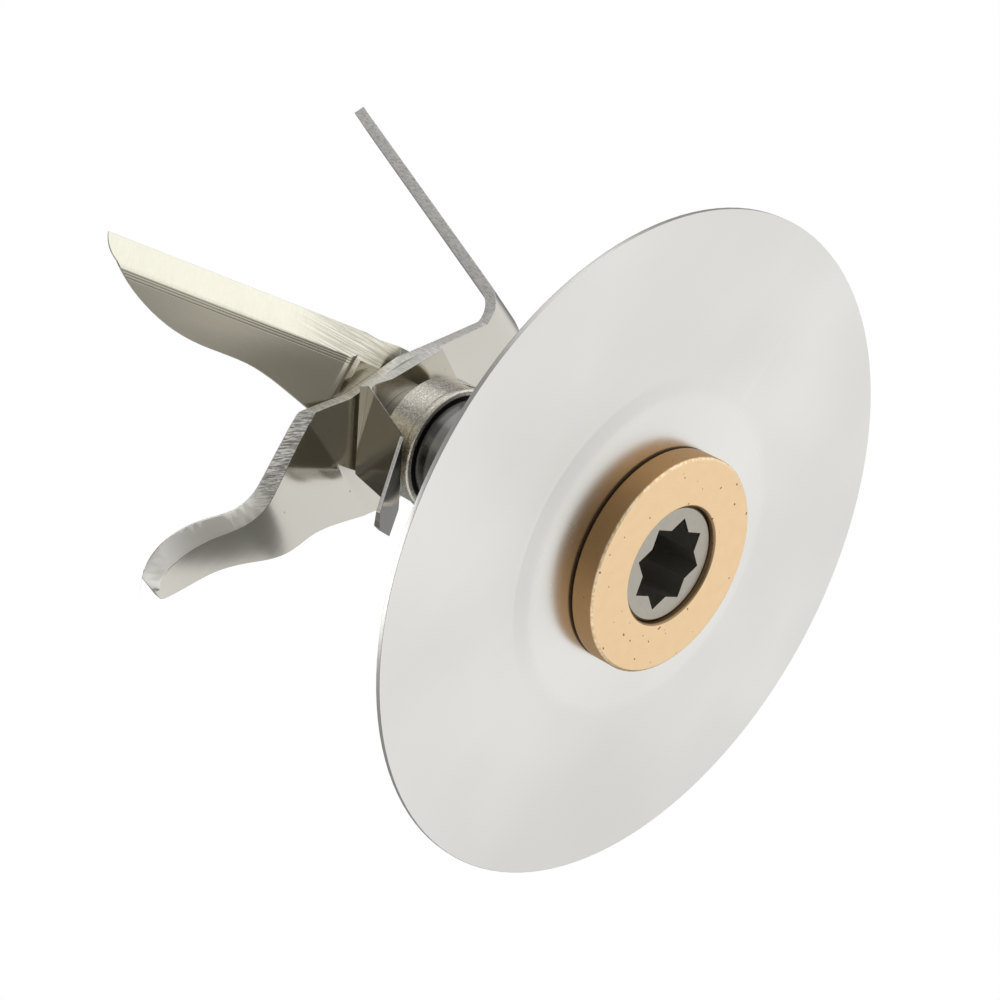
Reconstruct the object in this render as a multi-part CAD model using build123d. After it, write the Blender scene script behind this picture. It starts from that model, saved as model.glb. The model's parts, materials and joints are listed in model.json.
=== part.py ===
from build123d import *
import os
from math import asin, cos, radians, sin, tan

# Blender blade assembly, millimetres. +Z runs up the shaft towards the blades.
# The origin is the centre of the bronze flange's lower face.

# Base disc: a pressed sheet with a shallow central boss
disc_diameter = 66.0
disc_sheet = 0.5
boss_diameter = 32.0
boss_step = 0.63
boss_step_width = 1.3

# Bronze flange bushing
flange_diameter = 21.4
flange_thickness = 2.65
flange_edge = 0.25
neck_diameter = 15.0
neck_length = 6.0
mouth_chamfer = 0.2

# Drive shaft
head_diameter = 11.6
head_length = 9.5
head_recess = 0.5
head_chamfer = 0.25
socket_square = 6.42
socket_depth = 7.8
socket_turn = 30.0
socket_floor_angle = 59.0
journal_diameter = 7.0
flat_across = 5.6
thread_diameter = 6.0
thread_end = 0.8
clip_groove_depth = 0.5

# Clearances
running_clearance = 0.04
slip_clearance = 0.05
end_play = 0.15
head_room = 0.6
journal_room = 0.5

# Bearing housing
housing_height = 26.05
foot_diameter = 26.0
foot_height = 2.0
flare_height = 12.0
flare_diameter = 13.0
flare_pull = 0.5
flare_cones = 3
stem_diameter = 11.4
stem_edge = 0.5

# Pieces inside the housing
washer_thickness = 0.8
washer_rim = 1.9
bushing_wall = 1.1
bushing_length = 8.0
seal_thickness = 1.4
seal_depth = 0.3
gasket_inner_diameter = 19.0
gasket_outer_diameter = 23.0
gasket_thickness = 0.9

# Seal collar on the shaft and what sits inside it
collar_diameter = 12.8
collar_lip_diameter = 13.2
collar_lip_height = 1.0
collar_height = 4.6
collar_skirt = 0.4
collar_top = 1.2
collar_overlap = 0.3
collar_edge = 0.35
ring_thickness = 1.6
ring_gap = 0.3
ring_width = 1.9
clip_thickness = 0.7
clip_rim = 1.0
clip_opening = 80.0

# Blades: three sheets stacked on the shaft. Each wing has a heading, the compass angle of its
# length seen from above, and sides measured across that heading, positive on the leading side.
sheet = 1.2
spacer_diameter = 8.6
spacer_length = 2.5
bend_radius = 1.6
bend_spare = 0.2
cutting_land = 0.12
trim_reach = 40.0

# Top blade: two rising wings, half a turn apart
top_heading = -90.0
top_bend = 9.0
top_rise = 33.0
top_length = 27.0
top_cut_root = 6.3
top_cut_tip = 2.9
top_back_root = -3.5
top_neck = (4.3, -2.58)
top_waist = (9.0, -2.0)
top_belly = (15.4, -2.57)
top_flank = (20.8, -1.56)
top_heel = (25.05, 0.8)
top_nose = (26.3, 1.7)
top_bevel = 2.8
top_hub_corner = (2.6, 6.8)

# Middle blade: a steep wing on one side and a stepped wing on the other
steep_heading = 16.0
steep_bend = 16.9
steep_bend_radius = 3.0
steep_lead = 9.8
steep_back = 1.0
steep_rise = 67.9
steep_length = 31.6
steep_tip_lead = -0.5
steep_tip_back = -4.5
steep_bevel = 2.4
step_heading = 201.0
step_bend = 8.2
step_lead_root = 8.8
step_back = -7.6
step_drop = 14.0
step_run = 10.5
step_return = 6.0
step_reach = 31.2
step_sweep_radius = 12.0
step_bevel_run_out = (1.2, 0.5)
step_bevel_facets = 26
step_toe_bend = (31.1, 9.9)
step_toe_back = (30.5, 9.1)
# Leading edge from root to toe: distance from the shaft's axis, side, width of the bevel
step_edge = [
    (8.0, 10.45, 1.0), (11.75, 10.2, 1.15), (14.9, 9.87, 1.35), (17.4, 9.75, 1.5), (18.9, 10.0, 1.5),
    (20.3, 10.55, 1.55), (22.1, 11.7, 1.7), (23.8, 12.72, 1.9), (25.6, 13.38, 2.0), (27.6, 13.58, 2.0),
    (29.2, 13.15, 1.7), (30.5, 12.2, 1.3), (31.2, 10.8, 1.0),
]
# Trailing edge from toe to root: distance and side
step_tail = [
    (28.2, 8.2), (25.4, 7.15), (22.6, 5.25), (18.6, 2.0), (15.3, 0.4), (11.5, -2.6), (8.6, -5.4),
]
# Hub on the cutting side, between the two wings
middle_waist = (-0.32, -8.29)
middle_brow = (5.68, -3.77)
middle_arm = (9.52, 0.74)

# Lower blade: two falling wings
fall_heading = -125.0
fall_bend = 5.5
fall_lead = 6.0
fall_back = -3.9
fall_drop = 64.7
fall_run = 11.4
fall_slope = 40.0
fall_length = 16.1
fall_tip_width = 2.0
fall_tip_slant = 0.6
fall_belly = (7.0, 7.1)
fall_waist_width = 7.7
fall_bevel = 9.0
fall_tip_bevel = 7.0
fall_land = 0.36
rear_heading = 82.0
rear_bend = 7.6
rear_lead = 2.9
rear_back = -6.0
hub_corner = (8.6, -0.9)

# Fasteners
lock_washer_diameter = 10.4
lock_washer_thickness = 0.8
lock_washer_split = 0.7
nut_across_flats = 10.0
nut_height = 5.0
nut_chamfer = 0.6

# Heights worked out from the sizes above
boss_top = flange_thickness + disc_sheet
stem_top = boss_top + housing_height
shoulder = head_recess + head_length
washer_base = shoulder + end_play
washer_top = washer_base + washer_thickness
seal_top = stem_top - seal_depth
bushing_top = seal_top - seal_thickness
bushing_base = bushing_top - bushing_length
collar_base = stem_top - collar_overlap
collar_peak = collar_base + collar_height
collar_ceiling = collar_peak - collar_top
clip_base = collar_ceiling - clip_thickness
ring_base = stem_top + ring_gap
lower_base = collar_peak + spacer_length
middle_base = lower_base + sheet
top_base = middle_base + sheet
lock_base = top_base + sheet
nut_base = lock_base + lock_washer_thickness
shaft_top = nut_base + nut_height + thread_end

# Flat sheet kept inside every bend line, enough for the widest bend
bend_margin = (steep_bend_radius + sheet) * tan(radians(steep_rise / 2)) + bend_spare

# Radii that two or more pieces share
disc_radius = disc_diameter / 2
journal_radius = journal_diameter / 2
head_bore = head_diameter / 2 + running_clearance
neck_radius = neck_diameter / 2
bushing_radius = journal_radius + running_clearance + bushing_wall
thread_radius = thread_diameter / 2
skirt_bore = collar_diameter / 2 - collar_skirt


def turned(points):
    """Revolve a closed outline of (radius, height) points about the shaft's axis."""
    outline = make_face(Polyline(*[(r, 0, z) for r, z in points], close=True))
    return revolve(outline, Axis.Z)


def tube(inner, outer, base, top):
    """A plain ring between two radii and two heights."""
    return turned([(inner, base), (outer, base), (outer, top), (inner, top)])


def two_flats(radius, across):
    """A round section with two parallel flats."""
    return Circle(radius) & Rectangle(2 * radius, across)


def make_base_disc():
    """Pressed disc, its boss lowered on to the flange."""
    rim = disc_radius
    hole = neck_radius + slip_clearance
    boss = boss_diameter / 2
    outer = boss + boss_step_width
    low = flange_thickness
    high = flange_thickness + boss_step
    top = high + disc_sheet
    return turned([
        (hole, low), (boss, low), (outer, high), (rim, high), (rim, top), (outer, top),
        (boss, low + disc_sheet), (hole, low + disc_sheet),
    ])


def make_flange_bushing():
    """Bronze bushing whose flange carries the part and clamps the disc."""
    rim = flange_diameter / 2
    top = flange_thickness + neck_length
    return turned([
        (head_bore + mouth_chamfer, 0), (rim - flange_edge, 0), (rim, flange_edge),
        (rim, flange_thickness - flange_edge), (rim - flange_edge, flange_thickness),
        (neck_radius, flange_thickness), (neck_radius, top),
        (head_bore, top), (head_bore, mouth_chamfer),
    ])


def make_bearing_housing():
    """Tower that flares from a foot on the disc to a slim stem under the collar."""
    foot = foot_diameter / 2
    stem = stem_diameter / 2
    flare = flare_diameter / 2
    flare_top = boss_top + foot_height + flare_height
    neck_bore = neck_radius + slip_clearance
    neck_top = flange_thickness + neck_length + end_play
    head_space = head_diameter / 2 + head_room
    shaft_space = journal_radius + journal_room
    foot_top = boss_top + foot_height
    shoulder = flare_top + (flare - stem)
    pull = flare_top - flare_height * flare_pull
    sweep = Bezier((foot, foot_top), (flare, foot_top), (flare, pull), (flare, flare_top))
    cones = [sweep @ (step / flare_cones) for step in range(flare_cones)]
    body = turned([
        (neck_bore, boss_top), (foot, boss_top), *[(point.X, point.Y) for point in cones],
        (flare, flare_top), (stem, shoulder), (stem, stem_top - stem_edge), (stem - stem_edge, stem_top),
        (bushing_radius, stem_top), (bushing_radius, bushing_base), (shaft_space, bushing_base),
        (shaft_space, washer_top), (head_space, washer_top), (head_space, neck_top),
        (neck_bore, neck_top),
    ])
    groove = tube(gasket_inner_diameter / 2, gasket_outer_diameter / 2, boss_top, boss_top + gasket_thickness)
    return body - groove


def make_drive_shaft():
    """Stepped shaft with a star socket below and two flats under the blades."""
    head = head_diameter / 2
    groove = journal_radius - clip_groove_depth
    flats_base = lower_base - spacer_length / 2
    flats_top = lock_base
    core = turned([
        (0, head_recess), (head - head_chamfer, head_recess), (head, head_recess + head_chamfer),
        (head, shoulder), (journal_radius, shoulder), (journal_radius, clip_base), (groove, clip_base),
        (groove, collar_ceiling), (journal_radius, collar_ceiling),
        (journal_radius, flats_base), (0, flats_base),
    ])
    flats = two_flats(journal_radius, flat_across)
    core += Pos(0, 0, flats_base) * extrude(flats, flats_top - flats_base)
    core += turned([
        (0, flats_top), (thread_radius - slip_clearance, flats_top),
        (thread_radius - slip_clearance, shaft_top - thread_end / 2),
        (thread_radius - slip_clearance - thread_end / 2, shaft_top), (0, shaft_top),
    ])
    square = Rectangle(socket_square, socket_square)
    star = Rot(0, 0, socket_turn) * (square + Rot(0, 0, 45) * square)
    socket = Pos(0, 0, head_recess) * extrude(star, socket_depth)
    drill = socket_square / 2
    drill_tip = socket_depth + head_recess
    tip_height = drill / tan(radians(socket_floor_angle))
    floor = turned([(0, drill_tip), (drill, drill_tip), (0, drill_tip + tip_height / 2)])
    return core - socket - floor


def make_thrust_washer():
    """Washer between the shaft's shoulder and the housing."""
    bore = journal_radius + slip_clearance
    return tube(bore, bore + washer_rim, washer_base, washer_top)


def make_upper_bushing():
    """Sleeve bearing in the top of the housing."""
    return tube(journal_radius + running_clearance, bushing_radius, bushing_base, bushing_top)


def make_shaft_seal():
    """Lip seal above the upper bushing, its lip just off the shaft."""
    lip = journal_radius + running_clearance
    body = lip + bushing_wall / 3
    return turned([
        (lip, bushing_top), (bushing_radius, bushing_top), (bushing_radius, seal_top),
        (body, seal_top), (body, bushing_top + seal_thickness / 2), (lip, bushing_top + seal_thickness / 4),
    ])


def make_disc_gasket():
    """Flat gasket in the foot's groove, pressed on the disc."""
    inner = gasket_inner_diameter / 2
    outer = gasket_outer_diameter / 2
    return tube(inner, outer, boss_top, boss_top + gasket_thickness)


def make_seal_collar():
    """Turned cup that hangs over the stem, with a raised lip at its mouth."""
    lip = collar_lip_diameter / 2
    side = collar_diameter / 2
    bore = journal_radius + slip_clearance
    lip_top = collar_base + collar_lip_height
    return turned([
        (skirt_bore, collar_base), (lip - collar_edge / 2, collar_base), (lip, collar_base + collar_edge / 2),
        (lip, lip_top - collar_edge / 2), (side, lip_top), (side, collar_peak - collar_edge),
        (side - collar_edge, collar_peak), (bore, collar_peak), (bore, collar_ceiling),
        (skirt_bore, collar_ceiling),
    ])


def make_collar_ring():
    """Black rubber ring held in the collar's skirt."""
    outer = skirt_bore
    return tube(outer - ring_width, outer, ring_base, ring_base + ring_thickness)


def make_retaining_clip():
    """Open ring in the shaft's groove that stops the collar."""
    inner = journal_radius - clip_groove_depth
    outer = journal_radius + clip_rim
    ring = tube(inner, outer, clip_base, collar_ceiling)
    reach = 2 * outer
    half = radians(clip_opening / 2)
    wedge = Polyline((0, 0), (reach, -reach * tan(half)), (reach, reach * tan(half)), close=True)
    return ring - Pos(0, 0, clip_base) * extrude(make_face(wedge), clip_thickness)


def make_blade_spacer():
    """Spacer between the collar and the lowest blade."""
    return tube(journal_radius + slip_clearance, spacer_diameter / 2, collar_peak, lower_base)


def bent_strip(runs, lead, back, insides):
    """A strip of sheet along +X, bent at x = 0 and after each run, its underside on z = 0.

    runs holds (length, rise in degrees) pairs; lead and back are the strip's two sides in y;
    insides holds the radius on the hollow side of each bend.
    """
    under = [(-bend_margin, 0.0), (0.0, 0.0)]
    for length, rise in runs:
        x, z = under[-1]
        under.append((x + length * cos(radians(rise)), z + length * sin(radians(rise))))
    rises = [0.0] + [rise for _, rise in runs]
    over = [(-bend_margin, sheet)]
    under_radii = []
    over_radii = []
    for corner, before, after, inside in zip(under[1:-1], rises[:-1], rises[1:], insides):
        middle = radians((before + after) / 2)
        miter = sheet / cos(radians(after - before) / 2)
        over.append((corner[0] - miter * sin(middle), corner[1] + miter * cos(middle)))
        turns_up = after > before
        under_radii.append(inside + sheet if turns_up else inside)
        over_radii.append(inside if turns_up else inside + sheet)
    last = radians(rises[-1])
    over.append((under[-1][0] - sheet * sin(last), under[-1][1] + sheet * cos(last)))
    lower = FilletPolyline(*under, radius=under_radii)
    upper = FilletPolyline(*over, radius=over_radii)
    ends = [Line(under[0], over[0]), Line(under[-1], over[-1])]
    section = Plane.XZ * make_face([lower, upper, *ends])
    return extrude(Pos(0, lead, 0) * section, lead - back)


def run_planes(runs):
    """The plane of each run's underside, in the wing's own frame, with x along the run."""
    planes = []
    x, z = 0.0, 0.0
    for length, rise in runs:
        slope = radians(rise)
        planes.append(Plane((x, 0, z), x_dir=(cos(slope), 0, sin(slope)), z_dir=(-sin(slope), 0, cos(slope))))
        x += length * cos(slope)
        z += length * sin(slope)
    return planes


def prism(plane, outline):
    """A tall prism on a closed outline, to trim a strip to its shape."""
    return extrude(plane * make_face(outline), trim_reach, both=True)


def edge_wedge(plane, tip, root, width, from_below, land=cutting_land):
    """The metal ground off a leading edge that runs from tip to root in a run's plane."""
    along = (Vector(*root) - Vector(*tip)).normalized()
    length = (Vector(*root) - Vector(*tip)).length
    steepness = (sheet - land) / width
    side = [(width, 0), (-width, 2 * width * steepness), (-width, -sheet), (width, -sheet)]
    if not from_below:
        side = [(y, sheet - z) for y, z in side]
    wedge = extrude(Plane.YZ * make_face(Polyline(*side, close=True)), length)
    edge = Plane((*tip, 0), x_dir=along, z_dir=(0, 0, 1))
    return plane.location * edge.location * wedge


def wing_place(heading, bend, height):
    """Where a wing's own frame lies: +X along the heading, its origin on the bend line."""
    return Rot(0, 0, heading) * Pos(bend, 0, height)


def hub_point(heading, distance, side):
    """A point of the hub's outline, given along and across a wing's heading."""
    turn = radians(heading)
    return (distance * cos(turn) - side * sin(turn), distance * sin(turn) + side * cos(turn))


def hub_plate(corners, base):
    """Flat middle of a blade."""
    return Pos(0, 0, base) * extrude(make_face(Polyline(*corners, close=True)), sheet)


def blade_bore(base):
    """The hole that fits the shaft's flats."""
    section = two_flats(journal_radius + slip_clearance, flat_across + 2 * slip_clearance)
    return Pos(0, 0, base) * extrude(section, sheet)


def make_top_wing():
    """Rising wing with a straight cutting edge, an S-shaped back and a wide ground bevel."""
    runs = [(top_length, top_rise)]
    plane = run_planes(runs)[0]
    lead_side = max(top_cut_root, top_cut_tip)
    back_side = min(top_back_root, top_belly[1])
    strip = bent_strip(runs, lead_side, back_side, [bend_radius])
    root = -2 * bend_margin
    back = Spline(top_heel, top_flank, top_belly, top_waist, top_neck, (0, top_back_root))
    outline = [
        Polyline((0, top_back_root), (root, top_back_root), (root, top_cut_root), (0, top_cut_root)),
        Line((0, top_cut_root), (top_length, top_cut_tip)),
        ThreePointArc((top_length, top_cut_tip), top_nose, top_heel),
        back,
    ]
    wing = strip & prism(plane, outline)
    taper = (top_cut_root - top_cut_tip) / top_length
    inner = (-bend_margin, top_cut_root + bend_margin * taper)
    return wing - edge_wedge(plane, (top_length, top_cut_tip), inner, top_bevel, True)


def make_top_blade():
    """Upper sheet: two equal rising wings."""
    wing = make_top_wing()
    reach = top_bend - bend_margin
    corners = []
    blade = None
    for heading in (top_heading, top_heading + 180):
        corners += [
            hub_point(heading, reach, top_back_root),
            hub_point(heading, reach, top_cut_root),
            hub_point(heading, *top_hub_corner),
        ]
        placed = wing_place(heading, top_bend, top_base) * wing
        blade = placed if blade is None else blade + placed
    blade += hub_plate(corners, top_base)
    corner = (top_hub_corner[0] - top_bend, top_hub_corner[1])
    ground = edge_wedge(Plane.XY, (0, top_cut_root), corner, top_bevel, True)
    for heading in (top_heading, top_heading + 180):
        blade -= wing_place(heading, top_bend, top_base) * ground
    return blade - blade_bore(top_base)


def make_steep_wing():
    """Steep wing of the middle blade, swept back towards its tip."""
    runs = [(steep_length, steep_rise)]
    plane = run_planes(runs)[0]
    strip = bent_strip(runs, steep_lead, steep_tip_back, [steep_bend_radius])
    root = -2 * bend_margin
    outline = Polyline(
        (root, steep_back), (root, steep_lead), (0, steep_lead), (steep_length, steep_tip_lead),
        (steep_length, steep_tip_back), (0, steep_back), close=True,
    )
    wing = strip & prism(plane, outline)
    return wing - edge_wedge(plane, (steep_length, steep_tip_lead), (0, steep_lead), steep_bevel, True)


def step_underside(x):
    """Height and slope of the stepped wing's underside at a distance from its bend line."""
    fall = radians(-step_drop)
    rise = radians(step_return)
    radius = step_sweep_radius + sheet
    reach = radius * tan((rise - fall) / 2)
    knee_x = step_run * cos(fall)
    knee_z = step_run * sin(fall)
    turn = sin(fall) + (x - knee_x + reach * cos(fall)) / radius
    if x <= 0:
        return 0.0, 0.0
    if turn <= sin(fall):
        return x * tan(fall), fall
    if turn >= sin(rise):
        return knee_z + (x - knee_x) * tan(rise), rise
    return knee_z - reach * sin(fall) + radius * (cos(fall) - cos(asin(turn))), asin(turn)


def bevel_section(point, slope, ahead, width):
    """Section of the metal ground off at one point of a leading edge."""
    up = Vector(-sin(slope), 0, cos(slope))
    inward = ahead.cross(up).normalized()
    steepness = (sheet - cutting_land) / width
    reach = width + bend_spare
    low = -bend_spare * steepness
    side = [(reach, low), (-width, 2 * width * steepness), (-width, -sheet), (reach, -sheet)]
    return make_face(Polyline(*[point + inward * a + up * b for a, b in side], close=True))


def step_bevel(along):
    """Width of the stepped wing's bevel at a distance from the shaft's axis."""
    for (near, _, first), (far, _, last) in zip(step_edge[:-1], step_edge[1:]):
        if along <= far:
            return first + (last - first) * (along - near) / (far - near)
    return step_edge[-1][2]


def make_step_wing():
    """Stepped wing of the middle blade: it falls, then levels out to a rounded toe."""
    runs = [(step_run, -step_drop), (step_reach - step_bend - step_run, step_return)]
    lead = max(side for _, side, _ in step_edge)
    strip = bent_strip(runs, lead + bend_spare, step_back, [bend_radius, step_sweep_radius])
    inner = step_bend - bend_margin
    edge = [(along, side) for along, side, _ in step_edge]
    outline = [
        Polyline((inner, step_back), (inner, step_lead_root), edge[0]),
        Spline(*edge),
        ThreePointArc(edge[-1], step_toe_bend, step_toe_back),
        Spline(step_toe_back, *step_tail),
        Line(step_tail[-1], (inner, step_back)),
    ]
    wing = strip & prism(Plane((-step_bend, 0, 0)), outline)
    run_out, thin = step_bevel_run_out
    sweep = Spline(*edge)
    stations = [sweep @ (step / step_bevel_facets) for step in range(step_bevel_facets + 1)]
    stations = [Vector(edge[0][0] - run_out, edge[0][1]), *stations]
    widths = [thin] + [step_bevel(station.X) for station in stations[1:]]
    heights = [step_underside(station.X - step_bend) for station in stations]
    points = [Vector(s.X - step_bend, s.Y, h) for s, (h, _) in zip(stations, heights)]
    befores = [points[0], *points[:-1]]
    afters = [*points[1:], points[-1]]
    sections = [
        bevel_section(point, slope, after - before, width)
        for point, (_, slope), before, after, width in zip(points, heights, befores, afters, widths)
    ]
    return wing - loft(sections, ruled=True)


def make_middle_blade():
    """Middle sheet: the steep wing and the stepped wing on one hub."""
    steep_inner = steep_bend - bend_margin
    step_inner = step_bend - bend_margin
    corners = [
        hub_point(steep_heading, steep_inner, steep_back), hub_point(steep_heading, steep_inner, steep_lead),
        hub_point(step_heading, step_inner, step_back), hub_point(step_heading, step_inner, step_lead_root),
        middle_waist, middle_brow, middle_arm,
    ]
    blade = hub_plate(corners, middle_base)
    blade += wing_place(steep_heading, steep_bend, middle_base) * make_steep_wing()
    blade += wing_place(step_heading, step_bend, middle_base) * make_step_wing()
    return blade - blade_bore(middle_base)


def make_fall_wing(lead, back):
    """Falling wing: a steep drop past the collar, then a gentler run out to a narrow tip."""
    runs = [(fall_run, -fall_drop), (fall_length, -fall_slope)]
    strip = bent_strip(runs, lead, back, [bend_radius, bend_radius])
    first, second = run_planes(runs)
    knee = fall_run * cos(radians(fall_drop))
    tip = knee + fall_length * cos(radians(fall_slope))
    belly = knee + fall_belly[0] * cos(radians(fall_slope))
    outline = Polyline(
        (-bend_margin, back), (-bend_margin, lead),
        (tip, lead), (tip - fall_tip_slant, lead - fall_tip_width),
        (belly, lead - fall_belly[1]), (knee, lead - fall_waist_width), (0, back), close=True,
    )
    wing = strip & prism(Plane.XY, outline)
    wing -= edge_wedge(first, (fall_run, lead), (0, lead), fall_bevel, False)
    wing -= edge_wedge(second, (fall_length, lead), (0, lead), fall_tip_bevel, False, fall_land)
    return wing


def make_lower_blade():
    """Lower sheet: two falling wings on a hub under the middle blade."""
    fall_inner = fall_bend - bend_margin
    rear_inner = rear_bend - bend_margin
    corners = [
        hub_point(fall_heading, fall_inner, fall_back), hub_point(fall_heading, fall_inner, fall_lead),
        hub_corner,
        hub_point(rear_heading, rear_inner, rear_back), hub_point(rear_heading, rear_inner, rear_lead),
    ]
    blade = hub_plate(corners, lower_base)
    blade += wing_place(fall_heading, fall_bend, lower_base) * make_fall_wing(fall_lead, fall_back)
    blade += wing_place(rear_heading, rear_bend, lower_base) * make_fall_wing(rear_lead, rear_back)
    return blade - blade_bore(lower_base)


def make_lock_washer():
    """Split washer under the nut."""
    ring = tube(thread_radius + slip_clearance, lock_washer_diameter / 2, lock_base, nut_base)
    reach = lock_washer_diameter / 2
    slit = Box(reach, lock_washer_split, lock_washer_thickness)
    return ring - Pos(reach / 2, 0, (lock_base + nut_base) / 2) * slit


def make_blade_nut():
    """Hexagon nut that clamps the blades, both faces chamfered."""
    hexagon = RegularPolygon(nut_across_flats / 2, 6, major_radius=False)
    body = Pos(0, 0, nut_base) * extrude(hexagon, nut_height)
    corner = nut_across_flats / 2 / cos(radians(30))
    rounded = turned([
        (0, nut_base), (corner - nut_chamfer, nut_base), (corner, nut_base + nut_chamfer / 2),
        (corner, nut_base + nut_height - nut_chamfer / 2), (corner - nut_chamfer, nut_base + nut_height),
        (0, nut_base + nut_height),
    ])
    hole = Pos(0, 0, nut_base) * extrude(Circle(thread_radius), nut_height)
    return (body & rounded) - hole


pieces = {
    "base_disc": make_base_disc,
    "flange_bushing": make_flange_bushing,
    "bearing_housing": make_bearing_housing,
    "disc_gasket": make_disc_gasket,
    "upper_bushing": make_upper_bushing,
    "shaft_seal": make_shaft_seal,
    "thrust_washer": make_thrust_washer,
    "drive_shaft": make_drive_shaft,
    "seal_collar": make_seal_collar,
    "collar_ring": make_collar_ring,
    "retaining_clip": make_retaining_clip,
    "blade_spacer": make_blade_spacer,
    "lower_blade": make_lower_blade,
    "middle_blade": make_middle_blade,
    "top_blade": make_top_blade,
    "lock_washer": make_lock_washer,
    "blade_nut": make_blade_nut,
}

os.makedirs("parts", exist_ok=True)
for name, make in pieces.items():
    export_step(make(), f"parts/{name}.step")
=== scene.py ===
"""Looks of a blender blade assembly: finishes, softened edges, studio light and camera.

Lengths are in metres, and angles and headings in degrees.
"""
import json
import logging
import math
from dataclasses import dataclass, field
from enum import Enum, IntEnum
from typing import Any, Optional, Sequence, Union

import bpy
from mathutils import Matrix, Vector

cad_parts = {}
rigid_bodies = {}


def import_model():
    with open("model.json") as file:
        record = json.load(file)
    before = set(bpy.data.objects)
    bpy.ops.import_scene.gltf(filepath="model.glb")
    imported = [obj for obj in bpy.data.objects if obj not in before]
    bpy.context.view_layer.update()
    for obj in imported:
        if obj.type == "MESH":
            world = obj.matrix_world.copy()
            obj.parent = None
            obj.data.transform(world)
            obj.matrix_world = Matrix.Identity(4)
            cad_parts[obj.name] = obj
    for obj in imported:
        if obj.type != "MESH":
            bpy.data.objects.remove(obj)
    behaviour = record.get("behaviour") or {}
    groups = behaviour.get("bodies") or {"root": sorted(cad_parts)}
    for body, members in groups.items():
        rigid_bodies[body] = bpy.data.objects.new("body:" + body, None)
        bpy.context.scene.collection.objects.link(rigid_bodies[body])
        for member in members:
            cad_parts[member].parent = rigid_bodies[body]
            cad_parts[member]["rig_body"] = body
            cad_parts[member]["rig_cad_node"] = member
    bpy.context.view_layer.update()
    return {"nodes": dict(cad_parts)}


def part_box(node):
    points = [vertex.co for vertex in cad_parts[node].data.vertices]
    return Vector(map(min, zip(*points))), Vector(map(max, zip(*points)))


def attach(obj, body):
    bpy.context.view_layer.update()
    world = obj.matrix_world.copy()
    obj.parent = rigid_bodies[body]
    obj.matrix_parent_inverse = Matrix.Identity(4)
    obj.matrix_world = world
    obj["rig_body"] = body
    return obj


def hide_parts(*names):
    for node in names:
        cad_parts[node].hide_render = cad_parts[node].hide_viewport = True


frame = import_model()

logging.basicConfig(level=logging.INFO, format="%(name)s: %(message)s")
LOG = logging.getLogger("blade_assembly")

Colour = tuple[float, float, float]
Triple = tuple[float, float, float]
Span = tuple[float, float]
Number = Union[int, float]
MM = 0.001

# Places on the solids that the finishes follow
FLANGE_RADIUS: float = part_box("flange_bushing")[1].x
DISC_BOTTOM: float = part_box("base_disc")[0].z
SHAFT_BOTTOM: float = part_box("drive_shaft")[0].z
TOWER_TOP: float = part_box("bearing_housing")[1].z


class Body(Enum):
    """The two bodies of the part."""

    BASE = "base"
    ROTOR = "rotor"


class Slot(Enum):
    """Material slots of the record, one named with each dressed piece."""

    DISC = "disc_steel"
    BRONZE = "bronze"
    HOUSING = "housing_black"
    RUBBER = "rubber_black"
    SHAFT = "shaft_steel"
    COLLAR = "collar_steel"
    BLADE = "blade_steel"
    FASTENER = "fastener_steel"


class Zone(Enum):
    """Parts of a blade's surface, in the order of its material slots."""

    FACE = 0
    BEVEL = 1
    SIDE = 2


class Kind(Enum):
    """Shader nodes the finishes and the studio are made of."""

    MATH = "ShaderNodeMath"
    MIX = "ShaderNodeMix"
    NOISE = "ShaderNodeTexNoise"
    POINT = "ShaderNodeTexCoord"
    MAPPING = "ShaderNodeMapping"
    SPLIT = "ShaderNodeSeparateXYZ"
    RANGE = "ShaderNodeMapRange"
    BUMP = "ShaderNodeBump"
    SURFACE = "ShaderNodeBsdfPrincipled"
    OUTPUT = "ShaderNodeOutputMaterial"
    GEOMETRY = "ShaderNodeNewGeometry"
    TRANSPARENT = "ShaderNodeBsdfTransparent"
    MIX_SHADER = "ShaderNodeMixShader"
    LIGHT_PATH = "ShaderNodeLightPath"
    BACKGROUND = "ShaderNodeBackground"
    WORLD_OUTPUT = "ShaderNodeOutputWorld"
    VECTOR_MATH = "ShaderNodeVectorMath"


@dataclass(frozen=True)
class Grain:
    """A noise pattern.

    The scale is in cycles per metre and the detail in octaves, rough is the share of the finer octaves, and
    stretch scales the pattern along its own axes.
    """

    scale: float
    detail: float = 2.0
    rough: float = 0.5
    stretch: Triple = (1.0, 1.0, 1.0)


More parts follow.
